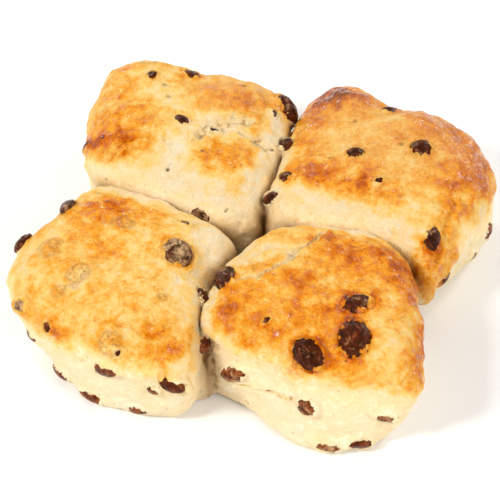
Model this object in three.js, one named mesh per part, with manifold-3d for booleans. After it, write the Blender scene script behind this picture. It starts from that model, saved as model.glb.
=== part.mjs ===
// Four square fruit scones that rose side by side on one tray, until their sides grew together.
// Millimetres, +Z up. The batch stands on its flat underside, with the origin under its middle.

import * as THREE from 'three';
import { mergeVertices } from 'three/addons/utils/BufferGeometryUtils.js';
import Module from 'manifold-3d';

const wasm = await Module();
wasm.setup();

// Driving dimensions: one scone is about 74 wide and 41 tall
const shoulderPower = 3.2; // how square a scone's top is: a larger number is flatter with a tighter shoulder
const lipStand = 0.9; // how far the crust's edge stands out past the pale side under it
const lipHeight = 3; // height of that edge
const bellyStand = 1.2; // how far a side swells between its foot and the crust
const footRounding = 2; // radius of the underside's edge
const footHeight = 3;
const swellSpread = 0.6; // width of a swelling's bell curve as a share of its reach
const raisinGap = 0.35; // clearance between a raisin and its pocket in the dough
const raisinThickness = 0.72; // a raisin's thickness as a share of its width
const wrinkleDepth = 0.07; // share of a raisin's radius
const nearlyLevel = 0.35; // skin that leans less than this, as a sine, counts as level

// Levels of the rings of a scone's skin: 0 middle of the base, 1 foot, 2 rim of the crust, 3 crown
const aroundSteps = 46;
const topLevels = [3, 2.84, 2.69, 2.54, 2.41, 2.29, 2.18, 2.08];
const sideLevels = [2, 1.91, 1.79, 1.5, 1.2, 1.07, 1, 0];
const levels = [...topLevels, ...sideLevels];

// Sides and rings of the small balls
const lumpGrid = [12, 6];
const crackGrid = [6, 4];
const raisinGrid = [7, 4];

const crust = { color: 0xd9a155, roughness: 0.55 };
const fruit = { color: 0x3b1d12, roughness: 0.4 };

// A scone's rim is listed anticlockwise from above: x, y, height, and how far the foot stands out past it.
// Its swells are the rises and dips of the top: x, y, reach, height.
// Its cracks and raisins lie on the skin at: share of the way round the rim, level. Then a crack has its
// length, depth, width and turn in degrees, and a raisin its length, width, turn and share sunk in the dough.
const scones = [
  {
    name: 'back_left',
    centre: [-34, 29],
    crown: 41,
    rim: [
      [-57, -1, 25, 0], [-32, -7, 25, 3], [-8, -10, 23, 3], [3, -1, 23, 2], [4, 18, 24, 2],
      [3, 40, 26, 1], [-5, 57, 27, -1], [-22, 62, 27, -2], [-42, 62, 28, -3], [-59, 63, 28, -3],
      [-72, 55, 27, -4], [-73, 37, 26, -4], [-69, 15, 24, -3],
    ],
    swells: [
      [-54, 50, 13, 2.5], [-36, 52, 9, -1.5], [-16, 48, 13, 3.2], [-35, 12, 14, 1.5], [-58, 22, 12, 1.8],
      [-28, 32, 9, -1.8], [-18, 28, 7, -1.2], [-46, 36, 8, -1],
    ],
    cracks: [[0.35, 2.62, 15, 3.5, 2.2, 14], [0.39, 2.52, 9, 3, 2, -50]],
    raisins: [
      [0.613, 2.48, 8, 5, 50, 0.45], [0.737, 2.65, 5, 4.5, 20, 0.7], [0.07, 2.93, 7.5, 5, -25, 0.62],
      [0.29, 2.78, 6.5, 3.8, -5, 0.7], [0.93, 2.14, 7, 4.5, 60, 0.6], [0.126, 2.17, 8, 5.5, -7, 0.45],
      [0.404, 2.36, 6, 3.5, 10, 0.65], [0.43, 2.16, 12, 9, 65, 0.3], [0.82, 1.6, 9, 6.5, 20, 0.5],
      [0.66, 1.45, 10, 7, -15, 0.55], [0.55, 1.7, 8, 6, 40, 0.6],
    ],
  },
  {
    name: 'back_right',
    centre: [40, 28],
    crown: 41,
    rim: [
      [4, 2, 24, 2], [20, -4, 25, 3], [42, -3, 25, 3], [57, -9, 24, 0], [67, -14, 22, -10],
      [73, -3, 23, -8], [77, 12, 24, -3], [81, 27, 25, -1], [80, 42, 26, 0], [70, 55, 27, -1],
      [55, 62, 27, -2], [39, 63, 28, -2], [21, 70, 29, -2], [8, 63, 28, -1], [3, 44, 26, 1],
      [3, 22, 25, 2],
    ],
    swells: [
      [20, 56, 11, 2.8], [52, 48, 13, 4], [68, 30, 11, 2.5], [36, 14, 15, 1], [62, 4, 10, 1.5],
      [36, 54, 7, -1.8], [28, 34, 8, -1], [56, 20, 8, -1],
    ],
    cracks: [[0.34, 2.3, 9, 2, 1.6, 60]],
    raisins: [
      [0.697, 2.47, 7.5, 5.5, 40, 0.55], [0.954, 2.85, 7, 6, 25, 0.62], [0.516, 2.77, 8.5, 7, 5, 0.6],
      [0.136, 2.7, 6.5, 3.6, 55, 0.65], [0.975, 2.38, 6, 5, 80, 0.5], [0.282, 2.37, 10, 6.5, 35, 0.58],
      [0.442, 1.5, 8, 6.5, 60, 0.55], [0.398, 1.4, 9, 5, -20, 0.6], [0.909, 2.17, 10, 6, 70, 0.35],
      [0.997, 2.23, 8, 5, 65, 0.4], [0.73, 1.55, 9, 6, 30, 0.55], [0.6, 1.4, 10, 7, -10, 0.55],
      [0.3, 1.8, 8, 5.5, 70, 0.5],
    ],
  },
  {
    name: 'front_left',
    centre: [-34, -42],
    crown: 39,
    rim: [
      [-56, -3, 23, 0], [-66, -22, 24, -3], [-73, -42, 25, -5], [-71, -58, 25, -9], [-56, -71, 25, -6],
      [-36, -78, 25, -1], [-14, -81, 25, -2], [0, -79, 24, -5], [0, -60, 23, 2], [-3, -36, 23, 2],
      [0, -18, 23, 2], [-14, -10, 23, 3], [-36, -4, 24, 3],
    ],
    swells: [
      [-52, -24, 13, 2.8], [-25, -62, 13, 1.8], [-16, -28, 12, 1.2], [-58, -52, 10, 1.2], [-36, -44, 9, -1.6],
      [-42, -68, 9, 1], [-6, -52, 9, 1], [-44, -54, 6, 1.4],
    ],
    cracks: [[0.433, 2.45, 13, 1.8, 1.4, -10], [0.526, 2.56, 10, 1.8, 1.4, 35]],
    raisins: [
      [0.068, 2.34, 9, 6, 55, 0.3], [0.143, 2.17, 8, 6, -35, 0.3], [0.71, 2.62, 12, 9.5, -35, 0.6],
      [0.823, 2.56, 6, 4.5, 40, 0.55], [0.276, 2.16, 10, 6.5, 30, 0.6], [0.331, 2.17, 5.5, 4.5, -40, 0.55],
      [0.43, 2.23, 6, 3.4, 50, 0.65], [0.415, 1.93, 9.5, 5.5, 15, 0.5], [0.508, 2.02, 9.5, 5.5, -26, 0.5],
      [0.478, 1.8, 5.5, 4.5, -5, 0.55], [0.45, 1.2, 7, 4.5, 8, 0.55], [0.388, 1.17, 10.5, 6, -14, 0.5],
      [0.335, 1.2, 9.5, 6, 12, 0.5], [0.28, 1.55, 10, 5.5, 35, 0.5], [0.2, 1.5, 9, 6.5, -20, 0.55],
      [0.655, 2.22, 9, 5, 60, 0.45], [0.61, 2.05, 7, 6.5, 0, 0.35],
    ],
  },
  {
    name: 'front_right',
    centre: [36, -38],
    crown: 42,
    rim: [
      [4, -16, 24, 2], [-3, -34, 24, 2], [-4, -54, 25, 2], [4, -62, 26, 1], [20, -65, 27, 3],
      [40, -70, 27, 8], [60, -68, 27, 3], [74, -67, 27, -9], [73, -48, 27, -6], [67, -28, 27, -3],
      [59, -11, 26, 0], [44, -2, 25, 3], [26, -3, 25, 3], [12, -6, 24, 3],
    ],
    swells: [
      [54, -20, 12, 3], [62, -52, 11, 1.6], [28, -46, 13, 1.8], [17, -20, 10, -2.5], [44, -34, 8, -1],
      [10, -50, 8, 1], [34, -12, 7, -1.6],
    ],
    cracks: [[0.33, 1.66, 20, 3.5, 2.2, 8], [0.03, 2.75, 18, 3, 2.2, 80], [0.258, 2.47, 6, 2.2, 1.5, 60]],
    raisins: [
      [0.098, 2.36, 13, 7.5, 30, 0.4], [0.258, 1.66, 11.5, 7, 35, 0.5], [0.271, 2.47, 6.5, 3.2, 65, 0.7],
      [0.351, 2.34, 12.5, 9.5, -22, 0.55], [0.423, 2.54, 14, 10.5, -68, 0.55],
      [0.536, 2.79, 12, 8, 40, 0.62], [0.356, 1.72, 9, 7.5, -45, 0.45], [0.449, 1.64, 11, 5, -4, 0.55],
      [0.412, 1.18, 9.5, 5, -8, 0.5], [0.377, 1.16, 11.5, 5, -10, 0.5], [0.66, 1.5, 9, 6.5, 20, 0.55],
    ],
  },
];

// Extra lumps fused to the batch: middle, three half axes, then tilted about X and turned about Z in degrees
const lumps = [
  { at: [0, -8, 0], half: [21, 15, 12], tilt: 0, turn: 0 }, // floor of the pit where the four corners meet
  { at: [0, -62, 6], half: [4.5, 5, 13], tilt: 0, turn: 0 }, // dough that runs on between the front scones
  { at: [65, -9, 24], half: [5.5, 11, 6], tilt: 38, turn: 8 }, // crust that hangs over at a front corner
];

// Position on the closed smooth curve through a scone's rim, with the lean of the side below it
function rimAt(scone, around) {
  const count = scone.rim.length;
  const place = (((around % 1) + 1) % 1) * count;
  const step = Math.floor(place);
  const t = place - step;
  const [a, b, c, d] = [-1, 0, 1, 2].map((shift) => scone.rim[(step + shift + count) % count]);
  return b.map((value, k) => {
    const slope = c[k] - a[k];
    const bend = 2 * a[k] - 5 * value + 4 * c[k] - d[k];
    const twist = 3 * value - a[k] - 3 * c[k] + d[k];
    return value + 0.5 * (slope * t + bend * t ** 2 + twist * t ** 3);
  });
}

function swellAt(scone, x, y) {
  let rise = 0;
  for (const [swellX, swellY, reach, height] of scone.swells) {
    const distance = Math.hypot(x - swellX, y - swellY) / (reach * swellSpread);
    rise += height * Math.exp(-0.5 * distance ** 2);
  }
  return rise;
}

// A point of the scone's skin, by the share of the way round it and its level
function skinPoint(scone, around, level) {
  const [centreX, centreY] = scone.centre;
  const [rimX, rimY, rimHeight, lean] = rimAt(scone, around);
  const reach = Math.hypot(rimX - centreX, rimY - centreY);
  const [outX, outY] = [(rimX - centreX) / reach, (rimY - centreY) / reach];
  if (level >= 2) {
    const share = Math.sin((3 - level) * Math.PI / 2);
    const [x, y] = [centreX + outX * reach * share, centreY + outY * reach * share];
    const rise = scone.crown - rimHeight + swellAt(scone, x, y);
    const dome = Math.sqrt(1 - share ** shoulderPower);
    return new THREE.Vector3(x, y, rimHeight + rise * dome);
  }
  const up = Math.max(level - 1, 0);
  const height = rimHeight * up;
  const belly = bellyStand * Math.sin(Math.PI * up);
  const lip = lipStand * (Math.exp(-(((rimHeight - height) / lipHeight) ** 2)) - 1);
  const foot = footRounding * Math.max(1 - height / footHeight, 0) ** 2;
  const stand = (reach + lean * (1 - up) + belly + lip - foot) * Math.min(level, 1);
  return new THREE.Vector3(centreX + outX * stand, centreY + outY * stand, height);
}

// Frame that stands on the skin at a point: X level along it, Z straight out, turned about Z
function skinFrame(scone, around, level, turn, sink) {
  const small = 0.01;
  const point = skinPoint(scone, around, level);
  const along = skinPoint(scone, around + small, level).sub(skinPoint(scone, around - small, level));
  const upward = skinPoint(scone, around, level + small).sub(skinPoint(scone, around, level - small));
  const out = along.cross(upward).normalize();
  const sideways = new THREE.Vector3(0, 0, 1).cross(out);
  if (sideways.length() < nearlyLevel) {
    sideways.set(1, 0, 0).addScaledVector(out, -out.x);
  }
  sideways.normalize();
  const frame = new THREE.Matrix4().makeBasis(sideways, new THREE.Vector3().crossVectors(out, sideways), out);
  frame.multiply(new THREE.Matrix4().makeRotationZ(THREE.MathUtils.degToRad(turn)));
  return frame.setPosition(point.addScaledVector(out, -sink));
}

// A closed manifold solid from a three.js geometry
function solidOf(geometry) {
  const bare = geometry.clone();
  bare.deleteAttribute('normal');
  bare.deleteAttribute('uv');
  const merged = mergeVertices(bare);
  return new wasm.Manifold(new wasm.Mesh({
    numProp: 3,
    vertProperties: merged.attributes.position.array,
    triVerts: new Uint32Array(merged.index.array),
  }));
}

function geometryOf(solid) {
  const mesh = solid.getMesh();
  const geometry = new THREE.BufferGeometry();
  geometry.setAttribute('position', new THREE.BufferAttribute(mesh.vertProperties, 3));
  geometry.setIndex(new THREE.BufferAttribute(mesh.triVerts, 1));
  geometry.computeVertexNormals();
  return geometry;
}

// One scone's whole skin: a closed sphere's grid, laid on the rings of the levels
function sconeGeometry(scone) {
  const geometry = new THREE.SphereGeometry(1, aroundSteps, levels.length - 1);
  const position = geometry.attributes.position;
  for (let i = 0; i < position.count; i++) {
    const around = (i % (aroundSteps + 1)) / aroundSteps;
    const ring = Math.floor(i / (aroundSteps + 1));
    position.setXYZ(i, ...skinPoint(scone, around % 1, levels[ring]));
  }
  return geometry;
}

function lumpGeometry({ at, half, tilt, turn }) {
  const geometry = new THREE.SphereGeometry(1, ...lumpGrid).rotateX(Math.PI / 2);
  geometry.scale(...half).rotateX(THREE.MathUtils.degToRad(tilt));
  geometry.rotateZ(THREE.MathUtils.degToRad(turn)).translate(...at);
  const position = geometry.attributes.position;
  for (let i = 0; i < position.count; i++) {
    position.setZ(i, Math.max(position.getZ(i), 0));
  }
  return geometry;
}

// A thin lens standing in the skin, whose lower half cuts the crack
function crackGeometry(scone, [around, level, length, depth, width, turn]) {
  const geometry = new THREE.SphereGeometry(1, ...crackGrid).rotateX(Math.PI / 2);
  geometry.scale(length / 2, width / 2, depth);
  return geometry.applyMatrix4(skinFrame(scone, around, level, turn, 0));
}

// A dented oval, grown by a clearance where it cuts its own pocket
function raisinGeometry(scone, [around, level, length, width, turn, sunk], seed, growth) {
  const thickness = width * raisinThickness;
  const geometry = new THREE.SphereGeometry(1, ...raisinGrid);
  const position = geometry.attributes.position;
  for (let i = 0; i < position.count; i++) {
    const [x, y, z] = [position.getX(i), position.getY(i), position.getZ(i)];
    const dent = 1 + wrinkleDepth * Math.sin(3 * x + 4 * y + seed) * Math.cos(4 * z - 2 * x + 2 * seed);
    position.setXYZ(i, x * dent, y * dent, z * dent);
  }
  geometry.scale(length / 2 + growth, width / 2 + growth, thickness / 2 + growth);
  return geometry.applyMatrix4(skinFrame(scone, around, level, turn, (sunk - 0.5) * thickness));
}

function named(name, geometry, finish) {
  const material = new THREE.MeshStandardMaterial({ ...finish, metalness: 0 });
  const mesh = new THREE.Mesh(geometry, material);
  mesh.name = name;
  return mesh;
}

// The scones and lumps are joined into one dough, then the cracks and the raisins' pockets are cut
const batch = new THREE.Group();
const bodies = [...scones.map(sconeGeometry), ...lumps.map(lumpGeometry)].map(solidOf);
let dough = bodies.reduce((joined, body) => joined.add(body));
for (const scone of scones) {
  for (const crack of scone.cracks) {
    dough = dough.subtract(solidOf(crackGeometry(scone, crack)));
  }
}
for (const scone of scones) {
  scone.raisins.forEach((raisin, index) => {
    dough = dough.subtract(solidOf(raisinGeometry(scone, raisin, index, raisinGap)));
    batch.add(named(`raisin_${scone.name}_${index + 1}`, raisinGeometry(scone, raisin, index, 0), fruit));
  });
}
batch.add(named('dough', geometryOf(dough), crust));

// The origin is under the middle of the batch, on the plane that it stands on
const middle = new THREE.Box3().setFromObject(batch).getCenter(new THREE.Vector3());
batch.position.set(-middle.x, -middle.y, 0);

const model = new THREE.Group();
model.add(batch);

export default model;
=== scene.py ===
import math

import bmesh
import bpy
import numpy as np
from mathutils import Matrix, Vector, kdtree, noise


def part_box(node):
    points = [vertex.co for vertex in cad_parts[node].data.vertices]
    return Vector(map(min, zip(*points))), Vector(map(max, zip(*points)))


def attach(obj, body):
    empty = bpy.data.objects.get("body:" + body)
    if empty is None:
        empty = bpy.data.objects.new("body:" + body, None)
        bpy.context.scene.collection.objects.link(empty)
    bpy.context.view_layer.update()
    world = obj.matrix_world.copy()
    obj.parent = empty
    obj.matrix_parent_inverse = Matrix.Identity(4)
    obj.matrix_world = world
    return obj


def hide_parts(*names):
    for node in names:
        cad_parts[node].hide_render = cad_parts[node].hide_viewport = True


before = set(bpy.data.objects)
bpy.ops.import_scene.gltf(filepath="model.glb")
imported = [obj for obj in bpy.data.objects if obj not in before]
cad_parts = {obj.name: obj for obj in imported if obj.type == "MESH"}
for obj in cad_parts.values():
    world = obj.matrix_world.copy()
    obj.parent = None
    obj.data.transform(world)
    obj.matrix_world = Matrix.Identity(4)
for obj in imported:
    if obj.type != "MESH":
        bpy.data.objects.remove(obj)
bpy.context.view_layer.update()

mm = 0.001
raisinNodes = sorted(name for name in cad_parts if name.startswith("raisin"))


# Colours are sRGB hex and the shaders want linear values
def linear(hexCode):
    parts = [int(hexCode[k:k + 2], 16) / 255 for k in (1, 3, 5)]
    return tuple(p / 12.92 if p <= 0.04045 else ((p + 0.055) / 1.055) ** 2.4 for p in parts) + (1,)


# Inputs go by name or in order, and each is a value, a hex colour or the output that feeds it
def addNode(tree, kind, inputs, output=0, stops=(), **settings):
    node = tree.nodes.new("ShaderNode" + kind)
    for name, value in settings.items():
        setattr(node, name, value)
    for key, value in inputs.items() if isinstance(inputs, dict) else enumerate(inputs):
        if isinstance(value, bpy.types.NodeSocket):
            tree.links.new(value, node.inputs[key])
        else:
            node.inputs[key].default_value = linear(value) if isinstance(value, str) else value
    if stops:
        elements = node.color_ramp.elements
        elements[0].position, elements[1].position = stops[0][0], stops[-1][0]
        for position, colour in stops[1:-1]:
            elements.new(position)
        for element, (position, colour) in zip(elements, stops):
            element.color = linear(colour)
    return node.outputs[output] if node.outputs else node


def newMaterial(name):
    material = bpy.data.materials.new(name)
    material.use_nodes = True
    material.node_tree.nodes.clear()
    return material, material.node_tree


# A material's noise patterns, and the marks that it reads from the mesh, by their names.
# A pattern is the size of its largest features in mm, then its detail, roughness and distortion.
def addSources(tree, patterns, marks):
    place = addNode(tree, "TexCoord", {}, "Object")
    source = {}
    for name, (size, detail, roughness, distortion) in patterns.items():
        source[name] = addNode(tree, "TexNoise", {
            "Vector": place, "Scale": 1 / (size * mm), "Detail": detail, "Roughness": roughness,
            "Distortion": distortion,
        })
    for name in marks:
        source[name] = addNode(tree, "Attribute", {}, "Fac", attribute_name=name)
    return source


def meshObject(name, bm):
    mesh = bpy.data.meshes.new(name)
    bm.to_mesh(mesh)
    bm.free()
    piece = bpy.data.objects.new(name, mesh)
    bpy.context.scene.collection.objects.link(piece)
    return piece


def readVectors(collection, field):
    values = np.empty(len(collection) * 3)
    collection.foreach_get(field, values)
    return values.reshape(-1, 3)


def smoothStep(low, high, value):
    share = np.clip((value - low) / (high - low), 0, 1)
    return share * share * (3 - 2 * share)


# Smooth noise in about -1 to 1 at each point, with features of the given size in mm
def vertexNoise(points, size, seed, ridged=False):
    offset = Vector((seed * 17.3, seed * 5.1, seed * 9.7))
    spots = [Vector(point) / size + offset for point in points]
    if ridged:
        return np.array([noise.ridged_multi_fractal(spot, 1.0, 2.0, 3, 1.0, 2.0) for spot in spots]) - 1
    return np.array([noise.fractal(spot, 0.9, 2.0, 3) for spot in spots])


# The dough. Lengths are in mm, in the batch's own plan, where the seams cross near 0, -8.
# Levels run up a scone's skin: 0 base, 1 foot, 2 rim, 3 crown.
doughLook = dict(
    seed=7,
    shoulderPower=3.2,  # larger is flatter on top with a tighter shoulder
    lipStand=0.9,  # how far the crust's edge stands out
    lipHeight=3.0,
    bellyStand=1.2,
    footRounding=2.0,
    footHeight=3.0,
    swellSpread=0.6,
    voxel=1.02,
    smoothings=3,
    flatBelow=0.25,
    fineBand=2.6,  # finer mesh this near a seam, and within this many half widths of a fold
    fineReach=1.45,  # and within this many half sizes of a raisin's middle
    broad=(15, 1.0),  # unevenness, coarse to fine: size and height
    middle=(6, 0.5),
    small=(2.4, 0.2),
    wrinkles=(4.5, 0.16),  # on the crust
    pleats=(3.2, 0.3),  # upright, on the pale sides
    tears=(1.3, 0.45),  # in torn crust
    crustStart=(1.98, 2.3),  # levels between which the crust begins
    seamWidth=1.4,
    seamDepth=5.5,
    seamLine=2.38,  # width of the painted dark line of shade in a seam
    seamShade=5.0,  # width of the painted shade on both sides of it
    shadeTop=(24, 33),  # heights between which line and shade fade out
    bigRaisin=5.5,  # half length past which a raisin has a dark caramel ring
    bigRing=0.5,
    smallRing=0.15,
    sconeTone=(0.35, 0.40, 0.35, 0.46),  # how brown each scone's top is
    toneLimits=(0.08, 0.95),
    toneNoise=(14, 0.10),  # broad changes of tone: size and amount
    toneOfRelief=dict(middle=0.07, small=0.05, wrinkled=0.05),  # high spots are browner
    creaseTone=0.1,
    tornTone=-0.3,
    sideTone=0.05,
    sideNoise=(11, 0.06),
    rimTone=0.09,  # added to the sides near the rim
    wander=(8, 3.4),  # size and strength of the noise that makes painted patches uneven
)

# Rim of each scone, anticlockwise from above: x, y, height, and how far the foot stands out past it.
# Swells are rises and dips of the top: x, y, reach, height.
scones = [
    dict(
        centre=(-34, 29), crown=41,
        rim=[
            (-57, -1, 25, 0), (-32, -7, 25, 3), (-8, -10, 23, 3), (3, -1, 23, 2), (4, 18, 24, 2),
            (3, 40, 26, 1), (-5, 57, 27, -1), (-22, 62, 27, -2), (-42, 62, 28, -3), (-59, 63, 28, -3),
            (-72, 55, 27, -4), (-73, 37, 26, -4), (-69, 15, 24, -3),
        ],
        swells=[
            (-54, 50, 13, 2.5), (-36, 52, 9, -1.5), (-16, 48, 13, 3.2), (-35, 12, 14, 1.5),
            (-58, 22, 12, 1.8), (-28, 32, 9, -1.8), (-18, 28, 7, -1.2), (-46, 36, 8, -1),
        ],
    ),
    dict(
        centre=(40, 28), crown=41,
        rim=[
            (4, 2, 24, 2), (20, -4, 25, 3), (42, -3, 25, 3), (57, -9, 24, 0), (67, -14, 22, -10),
            (73, -3, 23, -8), (77, 12, 24, -3), (81, 27, 25, -1), (80, 42, 26, 0), (70, 55, 27, -1),
            (55, 62, 27, -2), (39, 63, 28, -2), (21, 70, 29, -2), (8, 63, 28, -1), (3, 44, 26, 1),
            (3, 22, 25, 2),
        ],
        swells=[
            (20, 56, 11, 2.8), (52, 48, 13, 4), (68, 30, 11, 2.5), (36, 14, 15, 1), (62, 4, 10, 1.5),
            (36, 54, 7, -1.8), (28, 34, 8, -1), (56, 20, 8, -1),
        ],
    ),
    dict(
        centre=(-34, -42), crown=39,
        rim=[
            (-56, -3, 23, 0), (-66, -22, 24, -3), (-73, -42, 25, -5), (-71, -58, 25, -9), (-56, -71, 25, -6),
            (-36, -78, 25, -1), (-14, -81, 25, -2), (0, -79, 24, -5), (0, -60, 23, 2), (-3, -36, 23, 2),
            (0, -18, 23, 2), (-14, -10, 23, 3), (-36, -4, 24, 3),
        ],
        swells=[
            (-52, -24, 13, 2.8), (-25, -62, 13, 1.8), (-16, -28, 12, 1.2), (-58, -52, 10, 1.2),
            (-36, -44, 9, -1.6), (-42, -68, 9, 1), (-6, -52, 9, 1), (-44, -54, 6, 1.4),
        ],
    ),
    dict(
        centre=(36, -38), crown=42,
        rim=[
            (4, -16, 24, 2), (-3, -34, 24, 2), (-4, -54, 25, 2), (4, -62, 26, 1), (20, -65, 27, 3),
            (40, -70, 27, 8), (60, -68, 27, 3), (74, -67, 27, -9), (73, -48, 27, -6), (67, -28, 27, -3),
            (59, -11, 26, 0), (44, -2, 25, 3), (26, -3, 25, 3), (12, -6, 24, 3),
        ],
        swells=[
            (54, -20, 12, 3), (62, -52, 11, 1.6), (28, -46, 13, 1.8), (17, -20, 10, -2.5), (44, -34, 8, -1),
            (10, -50, 8, 1), (34, -12, 7, -1.6),
        ],
    ),
]

# Lumps fused to the scones: middle, half axes, tilt about X and turn about Z
lumps = [
    dict(at=(0, -8, 0), half=(21, 15, 12), tilt=0, turn=0),
    dict(at=(0, -62, 6), half=(4.5, 5, 13), tilt=0, turn=0),
    dict(at=(65, -9, 24), half=(5.5, 11, 6), tilt=38, turn=8),
]


# The rim is a closed smooth curve through its points
def rimAt(scone, around):
    rim = np.array(scone["rim"], float)
    place = (around % 1) * len(rim)
    step = np.floor(place).astype(int)
    t = (place - step)[:, None]
    a, b, c, d = (rim[(step + shift) % len(rim)] for shift in (-1, 0, 1, 2))
    return b + 0.5 * ((c - a) * t + (2 * a - 5 * b + 4 * c - d) * t**2 + (3 * b - a - 3 * c + d) * t**3)


# Points of a scone's skin, by their share of the way round it and their level
def skinPoints(scone, around, level):
    look = doughLook
    rim = rimAt(scone, around)
    centre = np.array(scone["centre"], float)
    outward = rim[:, :2] - centre
    reach = np.linalg.norm(outward, axis=1)
    outward /= reach[:, None]
    height, lean = rim[:, 2], rim[:, 3]
    share = np.sin(np.clip(3 - level, 0, 1) * math.pi / 2)
    top = centre + outward * (reach * share)[:, None]
    rise = scone["crown"] - height
    for x, y, size, amount in scone["swells"]:
        gap = np.hypot(top[:, 0] - x, top[:, 1] - y) / (size * look["swellSpread"])
        rise = rise + amount * np.exp(-0.5 * gap**2)
    topHeight = height + rise * np.sqrt(1 - share ** look["shoulderPower"])
    up = np.clip(level - 1, 0, 1)
    sideHeight = height * up
    belly = look["bellyStand"] * np.sin(math.pi * up)
    lip = look["lipStand"] * (np.exp(-(((height - sideHeight) / look["lipHeight"]) ** 2)) - 1)
    foot = look["footRounding"] * np.clip(1 - sideHeight / look["footHeight"], 0, 1) ** 2
    stand = (reach + lean * (1 - up) + belly + lip - foot) * np.minimum(level, 1)
    side = centre + outward * stand[:, None]
    onTop = level >= 2
    return np.column_stack([np.where(onTop[:, None], top, side), np.where(onTop, topHeight, sideHeight)])


def ballMesh():
    bm = bmesh.new()
    bmesh.ops.create_uvsphere(bm, u_segments=72, v_segments=40, radius=1)
    bmesh.ops.subdivide_edges(bm, edges=bm.edges, cuts=1, use_grid_fill=True)
    mesh = bpy.data.meshes.new("ball")
    bm.to_mesh(mesh)
    bm.free()
    return mesh


def addBall(bm, ball):
    bm.from_mesh(ball)
    bm.verts.ensure_lookup_table()
    return bm.verts[len(bm.verts) - len(ball.vertices):]


def addScone(bm, ball, scone):
    vertices = addBall(bm, ball)
    spots = np.array([v.co.normalized() for v in vertices])
    around = np.arctan2(spots[:, 1], spots[:, 0]) / (2 * math.pi)
    polar = np.arccos(np.clip(spots[:, 2], -1, 1)) / math.pi
    level = np.interp(polar, (0, 0.55, 0.9, 1), (3, 2, 1, 0))
    skin = skinPoints(scone, around, level)
    for vertex, point in zip(vertices, skin):
        vertex.co = Vector(point) * mm
    return skin, level


def addLump(bm, ball, lump):
    tilt = Matrix.Rotation(math.radians(lump["tilt"]), 3, "X")
    turn = Matrix.Rotation(math.radians(lump["turn"]), 3, "Z") @ tilt
    for vertex in addBall(bm, ball):
        spot = vertex.co.normalized() * Vector(lump["half"])
        vertex.co = (Vector(lump["at"]) + turn @ spot) * mm
        vertex.co.z = max(vertex.co.z, 0)


# Marks on the dough, in the same plan.
# Folds and cracks: points on the skin, half width, depth, and the height of the lip on the left of the way.
# Those deeper than tornDepth are torn open, and the rest are brown creases.
tornDepth = 1
folds = [
    ([(-55, 4, 36), (-53, 7, 38), (-52, 11, 39), (-48, 13, 40), (-44, 14, 41), (-39, 11, 41), (-36, 11, 42),
      (-37, 15, 42)], 0.9, 0.9, 0.8),
    ([(-51, 5, 37), (-48, 8, 39), (-44, 9, 40), (-40, 8, 41)], 0.7, 0.5, 0.3),
    ([(-29, 20, 42), (-28, 13, 41), (-29, 7, 40), (-29, 4, 39), (-32, 2, 38)], 0.6, 0.6, 0.2),
    ([(-25, 20, 41), (-23, 25, 40), (-20, 29, 39), (-16, 32, 40), (-11, 33, 40)], 2.0, 2.0, 0.6),
    ([(-12, 28, 39), (-7, 27, 38), (-4, 27, 37), (-2, 26, 35)], 1.5, 2.4, 0.6),
    ([(-27, -72, 36), (-23, -70, 37), (-19, -71, 36), (-17, -72, 36), (-14, -72, 36)], 0.7, 0.9, 0.5),
    ([(-18, -64, 39), (-16, -68, 38), (-13, -67, 37), (-9, -67, 36)], 0.7, 0.8, 0.5),
    ([(-34, -70, 36), (-32, -71, 36), (-28, -70, 37)], 0.6, 0.7, 0.4),
    ([(29, -13, 39), (27, -20, 40), (23, -25, 41), (22, -31, 42), (18, -37, 42), (14, -41, 41), (8, -43, 40)],
     1.5, 2.0, 1.4),
    ([(18, -13, 39), (17, -19, 40), (13, -24, 40), (12, -29, 40)], 0.9, 1.0, 0.6),
    ([(6, -30, 38), (10, -34, 39), (12, -38, 40)], 0.8, 0.8, 0.4),
    ([(13, -65, 12), (16, -66, 13), (22, -68, 15), (27, -69, 17), (32, -71, 18), (38, -71, 20)],
     0.7, 1.4, 0.7),
    ([(46, 37, 42), (49, 39, 43), (52, 40, 43)], 0.6, 0.7, 0.4),
    ([(70, 15, 36), (69, 5, 35), (68, -1, 34), (69, -7, 30)], 1.1, 0.8, 0.6),
    ([(0, -61, 18), (1, -64, 14), (1, -64, 7), (0, -68, 6)], 0.7, 1.6, 0.4),
    ([(4, -62, 18), (5, -63, 11), (5, -63, 5)], 0.8, 1.2, 0.3),
]

# Round bumps: x, y, z, radius, height. A veiled raisin is just under the crust and shows through it.
veiledRaisins = [
    (-38, -28, 39, 3.4, 0.7), (-59, -45, 38, 4.4, 0.9), (-45, -55, 40, 4.2, 0.9), (-50, -62, 37, 2.4, 0.5),
    (-15, -57, 38, 2.2, 0.5), (-27, -76, 33, 4.6, 0.9), (-57, 56, 38, 3.6, 0.6),
]
blisters = [
    (66, -7, 33, 3.4, 1.3), (70, -4, 32, 2.6, 0.8), (52, 26, 41, 3.0, 0.7), (57, 24, 41, 2.2, 0.5),
    (17, 50, 42, 2.4, 0.5), (62, 8, 38, 3.2, 0.7),
]

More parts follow.
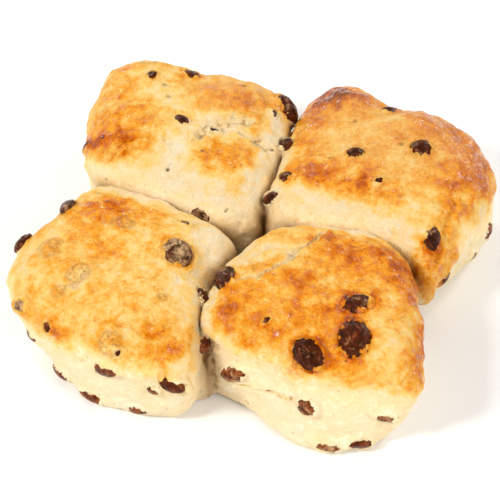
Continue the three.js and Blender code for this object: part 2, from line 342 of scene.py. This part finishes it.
# Browning, painted on the tops: x, y, half sizes along x and y, amount
browning = [
    # Back left
    (-54, 13, 12, 8, 0.27), (-58, 32, 13, 12, 0.10), (-21, 42, 13, 9, 0.28), (-12, 12, 9, 9, 0.12),
    (-31, 14, 6, 14, -0.22), (-42, 36, 9, 6, -0.16), (-30, -5, 34, 8, -0.34), (0, 27, 4, 30, -0.30),
    (-60, -2, 8, 8, -0.25), (-18, 29, 9, 5, -0.24), (-50, 42, 8, 6, -0.12), (-4, 42, 7, 10, -0.10),
    (-41, 12, 5, 4, -0.24), (-48, 34, 9, 4, 0.10), (-63, 16, 5, 6, 0.10), (-63, 13, 5, 5, 0.12),
    # Back right
    (17, 55, 13, 9, 0.50), (58, 48, 15, 9, 0.26), (19, 14, 10, 6, 0.36), (42, 11, 11, 5, 0.30),
    (74, 32, 9, 13, 0.31), (20, -1, 19, 9, -0.48), (46, -5, 16, 6, -0.32), (48, 27, 6, 6, -0.12),
    (66, -7, 4, 4, 0.28), (67, -14, 5, 4, -0.08), (5, 8, 4, 22, -0.24), (56, 8, 6, 8, -0.26),
    (80, 22, 6, 6, -0.40), (73, 8, 7, 5, -0.12), (36, 22, 12, 7, 0.06), (30, 38, 9, 7, -0.12),
    (52, 5, 8, 5, -0.06), (10, 35, 6, 14, 0.10), (62, 25, 6, 5, 0.26), (38, 8, 6, 4, 0.24),
    (30, -2, 20, 4, -0.10), (43, 12, 4, 3.5, -0.40), (41, 48, 6, 3, -0.30), (24, 47, 3, 3, -0.24),
    # Front left
    (-46, -24, 13, 8, 0.25), (-41, -40, 8, 5, 0.14), (-8, -74, 9, 6, 0.19), (-35, -72, 10, 4, -0.04),
    (-6, -33, 8, 18, -0.22), (-64, -58, 7, 10, -0.06), (-48, -74, 10, 4, 0.14), (-10, -20, 8, 7, -0.08),
    (-39, -54, 8, 6, -0.06), (-7, -53, 6, 8, -0.08), (-62, -36, 6, 8, -0.08), (-3, -77, 4, 5, -0.14),
    (-7, -34, 6, 6, 0.06),
    # Front right
    (12, -26, 15, 13, -0.30), (13, -36, 5, 8, 0.08), (25, -64, 8, 5, -0.12), (59, -20, 6, 9, 0.28),
    (38, -23, 12, 8, 0.14), (11, -55, 10, 8, 0.13), (60, -53, 9, 8, -0.20), (72, -44, 4, 18, 0.10),
    (46, -71, 12, 3, -0.12), (66, -65, 9, 5, -0.10), (0, -54, 3, 14, -0.30), (40, -47, 8, 6, 0.06),
    (26, -40, 8, 6, 0.12), (30, -19, 6, 5, 0.18), (54, -19, 8, 6, 0.08), (64, -33, 6, 8, 0.16),
    (66, -37, 4, 4, -0.06), (59, -9, 4, 5, -0.35),
]

# Drier crust of a duller brown: x, y, half sizes along x and y, amount
dryCrust = [(42, 38, 32, 22, 0.3), (-20, 46, 22, 14, 0.18)]

# Scorched or raisin-dark specks: x, y, z, radius
specks = [
    (-22, 12, 41, 0.7), (-32, 2, 38, 0.7), (-8, -6, 32, 0.6), (23, 21, 41, 0.8), (27, 42, 41, 0.7),
    (-47, -20, 39, 0.7), (-53, -14, 36, 0.7), (-17, 49, 42, 0.9), (-13, -38, 37, 0.7), (0, 26, 34, 0.6),
    (-43, 37, 41, 0.9), (-46, 42, 41, 0.7), (46, 34, 42, 0.8), (12, -52, 38, 0.7), (3, -50, 35, 0.8),
]

# Where the crust reaches down over the rim, or starts further in: x, y, reach, levels
edgeShifts = [
    (76, -40, 20, 0.30), (82, 25, 24, 0.22), (70, -8, 9, 0.5), (76, 10, 7, -0.30), (-74, 20, 14, 0.15),
    (-55, 64, 40, 0.15), (45, 66, 40, 0.2), (40, -70, 26, 0.04), (-40, -8, 30, -0.15), (30, -4, 26, -0.15),
    (-60, -72, 16, 0.2),
]

# How a raisin sits in the dough. Spreads are shares of its outline, seen along the dough's outward direction.
seatLook = dict(
    usualShow=0.82,  # spread to which a raisin shows bare
    shows=dict(
        back_left={2: 0.6, 4: 0.5, 7: 0.55, 8: 1.1},
        back_right={4: 0.5, 8: 0.6},
        front_left={1: 1.3, 2: 1.3, 3: 0.95, 4: 0.55, 5: 0.5, 6: 0.6, 7: 0.42, 9: 0.75, 10: 0.7},
        front_right={1: 1.05, 3: 0.42, 4: 0.9, 5: 0.9, 6: 0.8, 7: 0.7, 8: 0.6, 10: 0.65},
    ),
    raggedness=0.26,  # unevenness of the dough's edge round it
    edge=0.07,  # half the width of that edge
    overlap=0.55,  # how far the dough that laps over stands above the raisin
    sink=1.1,  # how far the dough lies under the bare part
    deepest=2.2,
    collar=0.35,  # rise of the dough round it
    reach=2.2,  # how far out points are looked at, in half sizes
)


# A table's own value for a raisin, or else the usual one
def raisinValue(table, name, usual):
    scone, number = name.removeprefix("raisin_").rsplit("_", 1)
    return table.get(scone, {}).get(int(number), usual)


# Distance to a path of segments, and the side of it that a point lies on as seen from above
def alongPath(points, path):
    best = np.full(len(points), 1e9)
    side = np.zeros(len(points))
    for start, end in zip(path[:-1], path[1:]):
        start, end = np.array(start, float), np.array(end, float)
        way = end - start
        share = np.clip((points - start) @ way / (way @ way), 0, 1)
        off = points - start - share[:, None] * way
        gap = np.linalg.norm(off, axis=1)
        nearer = gap < best
        cross = way[0] * off[:, 1] - way[1] * off[:, 0]
        side[nearer] = np.sign(cross)[nearer]
        best = np.minimum(best, gap)
    return best, side


# Middle, axes and half sizes of each raisin's solid, longest axis first
def raisinFrames():
    frames = {}
    for name in raisinNodes:
        points = np.array([v.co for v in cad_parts[name].data.vertices]) / mm
        middle = (points.min(0) + points.max(0)) / 2
        axes = np.linalg.eigh(np.cov((points - points.mean(0)).T))[1][:, ::-1]
        half = np.abs((points - middle) @ axes).max(0)
        frames[name] = (middle, axes, half)
    return frames


def bmeshPoints(bm):
    return np.array([v.co for v in bm.verts]) / mm


# Distance to the second nearest scone, the nearest one's number and the level there
def seamGap(points, skins):
    gaps = np.empty((len(skins), len(points)))
    nearest = np.empty((len(skins), len(points)), int)
    for index, (skin, level) in enumerate(skins):
        tree = kdtree.KDTree(len(skin))
        for number, spot in enumerate(skin):
            tree.insert(spot, number)
        tree.balance()
        found = [tree.find(point) for point in points]
        gaps[index] = [gap for spot, number, gap in found]
        nearest[index] = [number for spot, number, gap in found]
    owner = gaps.argmin(0)
    number = nearest[owner, np.arange(len(points))]
    level = np.array([skins[scone][1][spot] for scone, spot in zip(owner, number)])
    return np.sort(gaps, axis=0)[1], owner, level


def makeDough(raisins):
    look = doughLook
    ball = ballMesh()
    bm = bmesh.new()
    skins = [addScone(bm, ball, scone) for scone in scones]
    for lump in lumps:
        addLump(bm, ball, lump)
    low, high = (np.array(corner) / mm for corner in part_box("dough"))
    spots = bmeshPoints(bm)
    shift = ((low + high) / 2 - (spots.min(0) + spots.max(0)) / 2) * (1, 1, 0)
    rough = meshObject("roughDough", bm)
    remesh = rough.modifiers.new("remesh", "REMESH")
    remesh.mode = "VOXEL"
    remesh.voxel_size = look["voxel"] * mm
    shape = rough.evaluated_get(bpy.context.evaluated_depsgraph_get())
    bm = bmesh.new()
    bm.from_mesh(shape.to_mesh())
    bpy.data.objects.remove(rough)
    for _ in range(look["smoothings"]):
        bmesh.ops.smooth_vert(
            bm, verts=bm.verts, factor=0.5, use_axis_x=True, use_axis_y=True, use_axis_z=True,
        )
    for vertex in bm.verts:
        if vertex.co.z < look["flatBelow"] * mm:
            vertex.co.z = 0
    under = [face for face in bm.faces if all(vertex.co.z == 0 for vertex in face.verts)]
    bmesh.ops.dissolve_faces(bm, faces=under)
    # More points where there is fine shape: in the seams, round the raisins and along the folds
    points = bmeshPoints(bm)
    near = seamGap(points, skins)[0] < look["fineBand"]
    for middle, axes, half in raisins.values():
        near |= np.linalg.norm((points - (middle - shift)) @ axes / half, axis=1) < look["fineReach"]
    for path, width, depth, lip in folds:
        near |= alongPath(points, path)[0] < look["fineBand"] * width
    edges = [edge for edge in bm.edges if near[edge.verts[0].index] and near[edge.verts[1].index]]
    bmesh.ops.subdivide_edges(bm, edges=edges, cuts=1, use_grid_fill=True)
    bmesh.ops.recalc_face_normals(bm, faces=bm.faces)
    piece = meshObject("scone_dough", bm)
    print("dough: remeshed,", len(piece.data.vertices), "points")
    return piece, skins, shift


# How far folds move the dough outward, how torn it is there and how creased
def cutFolds(points, uneven):
    move, torn, creased = np.zeros((3, len(points)))
    for path, width, depth, lip in folds:
        gap, side = alongPath(points, path)
        gap = gap + width * uneven
        valley = np.exp(-((gap / width) ** 2))
        ridge = np.exp(-(((gap - 1.9 * width) / (1.1 * width)) ** 2))
        move += lip * ridge * (side > 0) - depth * valley
        if depth > tornDepth:
            torn = np.maximum(torn, valley)
        else:
            creased = np.maximum(creased, valley * depth)
    return move, torn, creased


# How far bumps move the dough outward, and where a raisin shows through the crust
def raiseBumps(points, uneven):
    move, veil = np.zeros((2, len(points)))
    for index, (x, y, z, radius, height) in enumerate(veiledRaisins + blisters):
        gap = np.linalg.norm(points - (x, y, z), axis=1) / radius * (1 + uneven)
        move += height * np.exp(-((gap / 0.75) ** 4))
        if index < len(veiledRaisins):
            veil = np.maximum(veil, np.exp(-((gap / 0.95) ** 4)))
    return move, veil


# How far each point moves outward to lie under a raisin's skin, or over it where the dough laps over its edge
def raisinSeat(points, normals, middle, axes, half, show, ragged):
    look = seatLook
    move, ring = np.zeros((2, len(points)))
    offset = points - middle
    close = np.nonzero(np.linalg.norm(offset @ axes / half, axis=1) < look["reach"])[0]
    if not len(close):
        return move, ring
    outward = normals[close[np.linalg.norm(offset[close], axis=1).argsort()[:12]]].mean(0)
    outward /= np.linalg.norm(outward)
    # The raisin is a unit ball when its axes are divided by its half sizes
    way = outward @ axes / half
    spot = offset[close] @ axes / half
    along = spot @ way / (way @ way)
    spread = np.sqrt(np.maximum((spot**2).sum(1) - along**2 * (way @ way), 0))
    rise = np.sqrt(np.maximum(1 - spread**2, 0) / (way @ way)) - along
    bare = 1 - smoothStep(-look["edge"], look["edge"], spread - show - look["raggedness"] * ragged[close])
    over = np.maximum(rise + look["overlap"], 0) * (1 - smoothStep(0.98, 1.22, spread))
    under = np.clip(rise - look["sink"], -look["deepest"], look["deepest"])
    under *= 1 - smoothStep(0.98, 1.1, spread)
    facing = normals[close] @ outward > 0.2
    collar = look["collar"] * np.exp(-(((spread - 1.25) / 0.2) ** 2))
    move[close] = (over + (under - over) * bare + collar) * facing
    ring[close] = np.exp(-(((spread - 1.0) / 0.3) ** 2)) * facing
    return move, ring


# Squared distance from the middle of a painted patch, in its half sizes
def patchGap(plan, x, y, sizeX, sizeY):
    return ((plan[:, 0] - x) / sizeX) ** 2 + ((plan[:, 1] - y) / sizeY) ** 2


# How brown the crust is, from the scone's own tone, the painted patches and the relief
def brownCrust(points, plan, owner, onCrust, relief):
    look = doughLook
    seed = look["seed"]
    bake = np.array(look["sconeTone"])[owner]
    for x, y, sizeX, sizeY, amount in browning:
        bake += amount * np.exp(-patchGap(plan, x, y, sizeX, sizeY))
    size, strength = look["toneNoise"]
    bake += strength * vertexNoise(points, size, seed + 7)
    for name, amount in look["toneOfRelief"].items():
        bake += amount * relief[name]
    caramel = relief["ring"] * np.clip(bake, 0, 1)
    crumb = relief["torn"] * (bake < 0.75)
    bake += caramel + look["tornTone"] * crumb + look["creaseTone"] * relief["creased"]
    bake = np.clip(bake, *look["toneLimits"])
    size, strength = look["sideNoise"]
    side = look["sideTone"] + strength * np.clip(vertexNoise(points, size, seed + 8), -0.6, 1)
    side += look["rimTone"] * smoothStep(1.65, 2.05, relief["edge"])
    return side + (bake - side) * onCrust


def sculptDough(piece, skins, shift, raisins):
    look = doughLook
    seed = look["seed"]
    mesh = piece.data
    points = readVectors(mesh.vertices, "co") / mm
    normals = readVectors(mesh.vertex_normals, "vector")
    otherGap, owner, level = seamGap(points, skins)
    clear = smoothStep(0.3, 3, points[:, 2])  # the flat underside stays flat

    # Unevenness of the dough, coarse to fine
    broad = vertexNoise(points, look["broad"][0], seed + 1)
    middle = vertexNoise(points, look["middle"][0], seed + 2)
    small = vertexNoise(points, look["small"][0], seed + 9)
    wrinkled = vertexNoise(points * (1, 1, 1.6), look["wrinkles"][0], seed + 3, ridged=True)
    pleated = vertexNoise(points * (1, 1, 0.35), look["pleats"][0], seed + 4)
    edge = level + 0.07 * middle + 0.04 * small  # the level, so that the crust starts along an uneven line
    for x, y, reach, amount in edgeShifts:
        edge += amount * np.exp(-patchGap(points, x, y, reach, reach))
    onCrust = smoothStep(*look["crustStart"], edge)
    move = look["broad"][1] * broad + look["middle"][1] * middle + look["small"][1] * small
    move += look["wrinkles"][1] * wrinkled * onCrust + look["pleats"][1] * pleated * (1 - onCrust)

    # Folds, bumps and torn crust
    folded, torn, creased = cutFolds(points, 0.5 * (middle + small))
    bumped, veil = raiseBumps(points, 0.35 * small + 0.3 * middle)
    crumb = smoothStep(0.2, 0.8, torn) * vertexNoise(points, look["tears"][0], seed + 10)
    move += folded + bumped + look["tears"][1] * crumb
    ripped = np.clip(smoothStep(0.15, 0.7, torn) + 0.5 * crumb, 0, 1)
    moved = points + normals * (move * clear)[:, None]

    # Narrow crevices where the scones meet
    seamed = np.exp(-((otherGap / look["seamWidth"]) ** 2)) * smoothStep(3, 12, points[:, 2])
    moved[:, 2] -= look["seamDepth"] * seamed * clear
    # Painted shade in the seams: a brown band beside each crevice and a dark line along it, both fading out
    # higher up
    low = 1 - smoothStep(*look["shadeTop"], points[:, 2])
    paintedSeamShade = np.exp(-((otherGap / look["seamShade"]) ** 1.5)) * low
    paintedSeamLine = np.exp(-((otherGap / look["seamLine"]) ** 2)) * low

    # Seats for the raisins
    ring = np.zeros(len(points))
    for name, (centre, axes, half) in raisins.items():
        show = raisinValue(seatLook["shows"], name, seatLook["usualShow"])
        seat, near = raisinSeat(moved, normals, centre - shift, axes, half, show, small + 0.6 * middle)
        moved += normals * (seat * clear)[:, None]
        browned = look["bigRing"] if half[0] > look["bigRaisin"] else look["smallRing"]
        ring = np.maximum(ring, near * browned)
    moved[:, 2] = np.maximum(moved[:, 2], 0)

    # Colour: painted patches are made uneven by the noise in the plan
    size, strength = look["wander"]
    wander = np.column_stack([vertexNoise(points, size, seed + 5), vertexNoise(points, size, seed + 6)])
    plan = points[:, :2] + strength * wander
    relief = dict(
        edge=edge, middle=middle, small=small, wrinkled=wrinkled, ring=ring, torn=torn, creased=creased,
    )
    bake = brownCrust(points, plan, owner, onCrust, relief)
    dry = np.zeros(len(points))
    for x, y, sizeX, sizeY, amount in dryCrust:
        dry = np.maximum(dry, amount * np.exp(-patchGap(plan, x, y, sizeX, sizeY) ** 2) * onCrust)
    speck = np.zeros(len(points))
    for x, y, z, radius in specks:
        gap = np.linalg.norm(points - (x, y, z), axis=1) / radius
        speck = np.maximum(speck, np.exp(-(gap**4)))

    mesh.vertices.foreach_set("co", ((moved + shift) * mm).ravel())
    marks = dict(
        bake=bake, crust=onCrust, paintedSeamShade=paintedSeamShade, paintedSeamLine=paintedSeamLine, veil=veil, speck=speck, ripped=ripped, dry=dry,
    )
    for name, values in marks.items():
        mesh.attributes.new(name, "FLOAT", "POINT").data.foreach_set("value", values.astype(np.float32))
    mesh.update()
    print("dough: sculpted and browned")


# Scone dough, egg-washed and baked. The crust is golden to chestnut, satin and finely wrinkled.
# Where scones touched, it is pale, dull and floury.
doughFinish = dict(
    patterns=dict(
        mottle=(5.5, 6, 0.62, 0.3), fine=(1.1, 4, 0.75, 0), blister=(2.6, 3, 0.5, 0.3),
        freckle=(1.7, 2, 0.5, 0), creamy=(7.0, 4, 0.6, 0.5), flour=(3.0, 4, 0.7, 0),
        pores=(1.6, 2, 0.5, 0.4), blotch=(2.4, 4, 0.7, 1.0), pits=(2.0, 3, 0.6, 0),
        wet=(2.2, 2, 0.5, 0), glaze=(1.5, 1, 0.5, 0),
    ),
    mottling=1.05,  # how much each pattern changes the tone
    speckling=0.66,
    blistering=0.22,
    freckling=0.2,
    tones=[
        (0.0, "#EEDEBC"), (0.12, "#F4D8A6"), (0.28, "#F8CA72"), (0.44, "#F2A42C"),
        (0.6, "#DF7A04"), (0.75, "#BE5600"), (0.9, "#8E3800"), (1.0, "#5A2200"),
    ],
    blisterRelief=1.1,  # mm
    grainRelief=0.9,
    glazeRelief=1.0,
)


def makeDoughMaterial():
    look = doughFinish
    material, tree = newMaterial("eggWashedSconeCrust")
    marks = ("bake", "crust", "paintedSeamShade", "paintedSeamLine", "veil", "speck", "ripped", "dry")
    source = addSources(tree, look["patterns"], marks)
    bake, crust, veil, ripped = (source[name] for name in ("bake", "crust", "veil", "ripped"))

    # The patterns vary the tone most where the crust is brown, and hardly on the pale sides
    centre = -(look["mottling"] + look["speckling"]) / 2
    spread = addNode(tree, "Math", (source["mottle"], look["mottling"], centre), operation="MULTIPLY_ADD")
    spread = addNode(tree, "Math", (source["fine"], look["speckling"], spread), operation="MULTIPLY_ADD")
    onCrust = addNode(tree, "MapRange", (crust, 0, 1, 0.06, 0.75))
    spread = addNode(tree, "Math", (spread, onCrust), operation="MULTIPLY")
    onBrown = addNode(tree, "MapRange", (bake, 0.25, 0.55, 0.65, 1.2))
    spread = addNode(tree, "Math", (spread, onBrown), operation="MULTIPLY")
    amount = look["blistering"]
    blisters = addNode(tree, "Math", (source["blister"], amount, -amount / 2), operation="MULTIPLY_ADD")
    spread = addNode(tree, "Math", (blisters, crust, spread), operation="MULTIPLY_ADD")
    tone = addNode(tree, "Math", (bake, spread), operation="ADD", use_clamp=True)
    freckles = addNode(tree, "MapRange", (source["freckle"], 0.66, 0.74))
    freckling = addNode(tree, "MapRange", (tone, 0.2, 0.6, 0, look["freckling"]))
    tone = addNode(tree, "Math", (freckles, freckling, tone), operation="MULTIPLY_ADD", use_clamp=True)
    colour = addNode(tree, "ValToRGB", (tone,), stops=look["tones"])

    bare = addNode(tree, "MapRange", (crust, 0, 1, 1, 0))
    pores = addNode(tree, "MapRange", (source["pores"], 0.67, 0.76))
    outline = addNode(tree, "MapRange", (veil, 0.95, 0.6, 0, 0.36))
    blotches = addNode(tree, "MapRange", (source["blotch"], 0.44, 0.62, 0, 0.75))
    # Layers over the tone: two shares that are multiplied, the colour, and how it goes on
    layers = [
        # Creamy patches, flour and pores, mostly on the pale sides; the pores' dark colour is painted shade
        # in small holes
        (addNode(tree, "MapRange", (source["creamy"], 0.48, 0.66, 0, 0.6)), bare, "#ECD29C", "MIX"),
        (addNode(tree, "MapRange", (source["flour"], 0.52, 0.66, 0, 0.7)), bare, "#F7EBCC", "MIX"),
        (addNode(tree, "MapRange", (crust, 0, 1, 0.55, 0.1)), pores, "#B08450", "MIX"),
        (source["dry"], 1, "#DEAC70", "MIX"),
        # Raisins show brown through the thin crust over them, darker at their outline and in blotches
        (addNode(tree, "MapRange", (veil, 0.05, 0.4)), outline, "#B8782E", "MIX"),
        (addNode(tree, "MapRange", (veil, 0.3, 0.8)), blotches, "#A8682A", "MIX"),
        (source["speck"], 1, "#4A2314", "MIX"),
        # Torn crust shows pale crumb, with painted shade in its small pits
        (ripped, 0.7, "#F8DEA6", "MIX"),
        (ripped, addNode(tree, "MapRange", (source["pits"], 0.5, 0.62, 0, 0.7)), "#AC762E", "MIX"),
        # Painted shade in the seams: a brown band beside each crevice and a dark line along it
        (source["paintedSeamShade"], 1, "#9C7434", "MULTIPLY"),
        (source["paintedSeamLine"], 0.85, "#4A2810", "MIX"),
    ]
    for first, second, tint, blend in layers:
        share = addNode(tree, "Math", (first, second), operation="MULTIPLY")
        colour = addNode(tree, "Mix", {0: share, 6: colour, 7: tint}, 2, data_type="RGBA", blend_type=blend)

    # Gloss comes with the browning, and the pale sides stay dull
    rough = addNode(tree, "MapRange", (tone, 0.15, 0.6, 0.75, 0.33))
    uneven = addNode(tree, "Math", (source["mottle"], 0.4, -0.2), operation="MULTIPLY_ADD")
    rough = addNode(tree, "Math", (rough, uneven), operation="ADD", use_clamp=True)
    wet = addNode(tree, "MapRange", (source["wet"], 0.48, 0.58, 0.04, 1))
    washed = addNode(tree, "MapRange", (tone, 0.3, 0.5, 0, 1))
    coat = addNode(tree, "Math", (wet, washed), operation="MULTIPLY")

    # Relief: blisters, then a fine grain with pores on the sides, and the glaze over the blisters
    blisterBump = addNode(tree, "Bump", {
        "Height": source["blister"], "Strength": addNode(tree, "MapRange", (crust, 0, 1, 0.4, 1)),
        "Distance": look["blisterRelief"] * mm,
    })
    sunk = addNode(tree, "Math", (pores, bare), operation="MULTIPLY")
    grainBump = addNode(tree, "Bump", {
        "Height": addNode(tree, "Math", (source["fine"], sunk), operation="SUBTRACT"),
        "Strength": addNode(tree, "MapRange", (crust, 0, 1, 0.5, 1)),
        "Distance": look["grainRelief"] * mm, "Normal": blisterBump,
    })
    glazeBump = addNode(tree, "Bump", {
        "Height": source["glaze"], "Strength": 1, "Distance": look["glazeRelief"] * mm, "Normal": blisterBump,
    })
    shader = addNode(tree, "BsdfPrincipled", {
        "Base Color": colour, "Roughness": rough, "Normal": grainBump,
        "Coat Weight": coat, "Coat Roughness": 0.06, "Coat Normal": glazeBump,
        "Subsurface Weight": 0.12, "Subsurface Radius": (1, 0.6, 0.35), "Subsurface Scale": 1.5 * mm,
        "Specular IOR Level": 0.14, "Specular Tint": "#FFD8A0",
    })
    addNode(tree, "OutputMaterial", {"Surface": shader})
    return material


# Raisins: each is a ball shaped to its solid, then wrinkled
raisinLook = dict(
    seed=7,
    grow=1.02,  # fills the clearance between the solid and the dough
    coarse=0.13,  # depth of the big folds, as a share of the thickness
    fine=0.05,
    foldSize=3.0,  # mm
    foldWidth=0.16,
    lowest=0.2,  # mm above the underside
    bigLength=8.5,  # mm; longer raisins get a finer mesh
    ruddyBelow=(22, 32),  # heights between which raisins turn from red-brown to nearly black
    usualFlour=0.12,  # share of dough dust
    flour=dict(
        back_left={6: 0.5},
        back_right={1: 0.2},
        front_left={3: 0.8, 5: 0.9},
        front_right={1: 0.35, 2: 0.5, 4: -0.5, 5: -0.5, 7: 0.5, 8: 0.5, 10: 0.6},
    ),
    patterns=dict(skin=(3.0, 3, 0.6, 0), crumbs=(3.4, 5, 0.68, 0.6), grain=(1.0, 3, 0.6, 0)),
    skinTones=[(0.34, "#1E0803"), (0.61, "#4E1C0A"), (0.8, "#8C4C24")],
    grainRelief=0.3,  # mm
)


def makeRaisins(raisins):
    look = raisinLook
    noise.seed_set(look["seed"])  # noise_vector differs from run to run without a seed
    bm = bmesh.new()
    # Marks for the skin's colour: dough dust, fold depth for painted shade in the creases, and redness lower
    # down
    floury, fold, ruddy = (bm.verts.layers.float.new(name) for name in ("floury", "fold", "ruddy"))
    for index, (name, (middle, axes, half)) in enumerate(raisins.items()):
        detail = 5 if half[0] * 2 > look["bigLength"] else 4
        ball = bmesh.ops.create_icosphere(bm, subdivisions=detail, radius=1)
        offset = Vector((index * 3.7, index * 1.9, index * 2.3))
        turn = Matrix(axes.tolist())
        if turn.determinant() < 0:
            turn = turn @ Matrix.Diagonal((1, 1, -1))
        flour = raisinValue(look["flour"], name, look["usualFlour"])
        redness = 1 - smoothStep(*look["ruddyBelow"], middle[2])
        for vertex in ball["verts"]:
            spot = vertex.co * Vector(half)
            place = spot * Vector((0.5, 1, 1)) / look["foldSize"] + offset  # folds run along the raisin
            warp = noise.noise_vector(place * 0.8) * 0.5
            crease = abs(noise.noise(place + warp)) + 0.5 * abs(noise.noise(place * 2.1 + warp))
            depth = math.exp(-((crease / look["foldWidth"]) ** 2))
            swell = look["grow"] - look["coarse"] * depth + look["fine"] * noise.noise(place * 3.1)
            vertex.co = (Vector(middle) + turn @ (spot * swell)) * mm
            vertex[floury], vertex[fold], vertex[ruddy] = flour, depth, redness
    for vertex in bm.verts:
        vertex.co.z = max(vertex.co.z, look["lowest"] * mm)
    for face in bm.faces:
        face.smooth = True
    piece = meshObject("raisins", bm)
    print("raisins:", len(raisins), "made,", len(piece.data.polygons), "faces")
    return piece


# Raisin skin: dark, wrinkled and slightly sticky, with dough dust on it
def makeRaisinMaterial():
    look = raisinLook
    material, tree = newMaterial("raisinSkin")
    source = addSources(tree, look["patterns"], ("floury", "fold", "ruddy"))
    # Darker in the skin's folds: painted shade in its creases
    tint = addNode(tree, "Math", (source["fold"], -0.16, source["skin"]), operation="MULTIPLY_ADD")
    tint = addNode(tree, "Math", (source["ruddy"], 0.2, tint), operation="MULTIPLY_ADD")
    skin = addNode(tree, "ValToRGB", (tint,), stops=look["skinTones"])
    reach = addNode(tree, "Math", (source["floury"], 0.22, source["crumbs"]), operation="MULTIPLY_ADD")
    dusted = addNode(tree, "MapRange", (reach, 0.6, 0.78, 0, 0.85))
    shader = addNode(tree, "BsdfPrincipled", {
        "Base Color": addNode(tree, "Mix", {0: dusted, 6: skin, 7: "#CDA677"}, 2, data_type="RGBA"),
        "Roughness": addNode(tree, "MapRange", (dusted, 0, 1, 0.3, 0.8)),
        "Normal": addNode(tree, "Bump", {
            "Height": source["grain"], "Strength": 0.35, "Distance": look["grainRelief"] * mm,
        }),
        "Specular IOR Level": 0.4, "Specular Tint": "#F0A878",
    })
    addNode(tree, "OutputMaterial", {"Surface": shader})
    return material


# Studio: camera looking down on the batch, pale floor, soft light all round
studio = dict(
    azimuth=16, elevation=47, distance=600,  # degrees and mm
    lensPixels=1656, imagePixels=500,
    aim=(0, 0, 17), aimAt=(252, 232),  # the aim point's place in the picture
    floorSize=6, floorDrop=0.0003,
    worldStrength=0.52,
    softboxes=dict(  # place and width in metres, and power in watts
        keySoftbox=((-0.55, -0.6, 0.8), 0.25, 7.6),
        fillSoftbox=((0.75, -0.45, 0.65), 0.5, 4.6),
        rightRearSoftbox=((0.45, 0.75, 0.45), 0.2, 2.4),
        leftRearSoftbox=((-0.6, 0.6, 0.5), 0.2, 2.4),
    ),
)


def makeCamera(shift):
    look = studio
    azimuth, elevation = math.radians(look["azimuth"]), math.radians(look["elevation"])
    flat = math.cos(elevation)
    back = Vector((math.sin(azimuth) * flat, -math.cos(azimuth) * flat, math.sin(elevation)))
    right = Vector((math.cos(azimuth), math.sin(azimuth), 0))
    up = back.cross(right)
    perPixel = look["distance"] / look["lensPixels"]
    offX = (look["aimAt"][0] - look["imagePixels"] / 2) * perPixel
    offY = -(look["aimAt"][1] - look["imagePixels"] / 2) * perPixel
    aim = Vector(look["aim"]) + Vector(shift)
    position = aim + back * look["distance"] - right * offX - up * offY
    data = bpy.data.cameras.new("camera")
    data.sensor_width = 36
    data.lens = look["lensPixels"] / look["imagePixels"] * data.sensor_width
    data.clip_start = 0.01
    camera = bpy.data.objects.new("camera", data)
    turn = Matrix((right, up, back)).transposed().to_4x4()
    camera.matrix_world = Matrix.Translation(position * mm) @ turn
    bpy.context.scene.collection.objects.link(camera)
    bpy.context.scene.camera = camera


def addSoftbox(name, place, size, power):
    data = bpy.data.lights.new(name, "AREA")
    data.shape = "DISK"
    data.size = size
    data.energy = power
    light = bpy.data.objects.new(name, data)
    place = Vector(place)
    light.matrix_world = Matrix.Translation(place) @ place.to_track_quat("Z", "Y").to_matrix().to_4x4()
    bpy.context.scene.collection.objects.link(light)


# Studio floor: matt pale card, so that the batch throws only a soft shadow
def makeStudio():
    bm = bmesh.new()
    bmesh.ops.create_grid(bm, x_segments=1, y_segments=1, size=studio["floorSize"] / 2)
    floor = meshObject("floor", bm)
    floor.location.z = -studio["floorDrop"]
    material, tree = newMaterial("paleStudioFloor")
    shader = addNode(tree, "BsdfPrincipled", {"Base Color": "#F4F3F1", "Roughness": 0.9})
    addNode(tree, "OutputMaterial", {"Surface": shader})
    floor.data.materials.append(material)
    for name, (place, size, power) in studio["softboxes"].items():
        addSoftbox(name, place, size, power)
    world = bpy.data.worlds.new("studioWorld")
    world.use_nodes = True
    background = world.node_tree.nodes["Background"].inputs
    background["Color"].default_value = (1, 1, 1, 1)
    background["Strength"].default_value = studio["worldStrength"]
    bpy.context.scene.world = world
    bpy.context.scene.view_settings.view_transform = "Standard"
    print("studio: floor, lights and camera set")


raisins = raisinFrames()
dough, skins, shift = makeDough(raisins)
sculptDough(dough, skins, shift, raisins)
for polygon in dough.data.polygons:
    polygon.use_smooth = True
dough.data.materials.append(makeDoughMaterial())
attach(dough, "root")
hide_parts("dough")

fruit = makeRaisins(raisins)
fruit.data.materials.append(makeRaisinMaterial())
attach(fruit, "root")
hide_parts(*raisinNodes)

makeCamera(shift)
makeStudio()
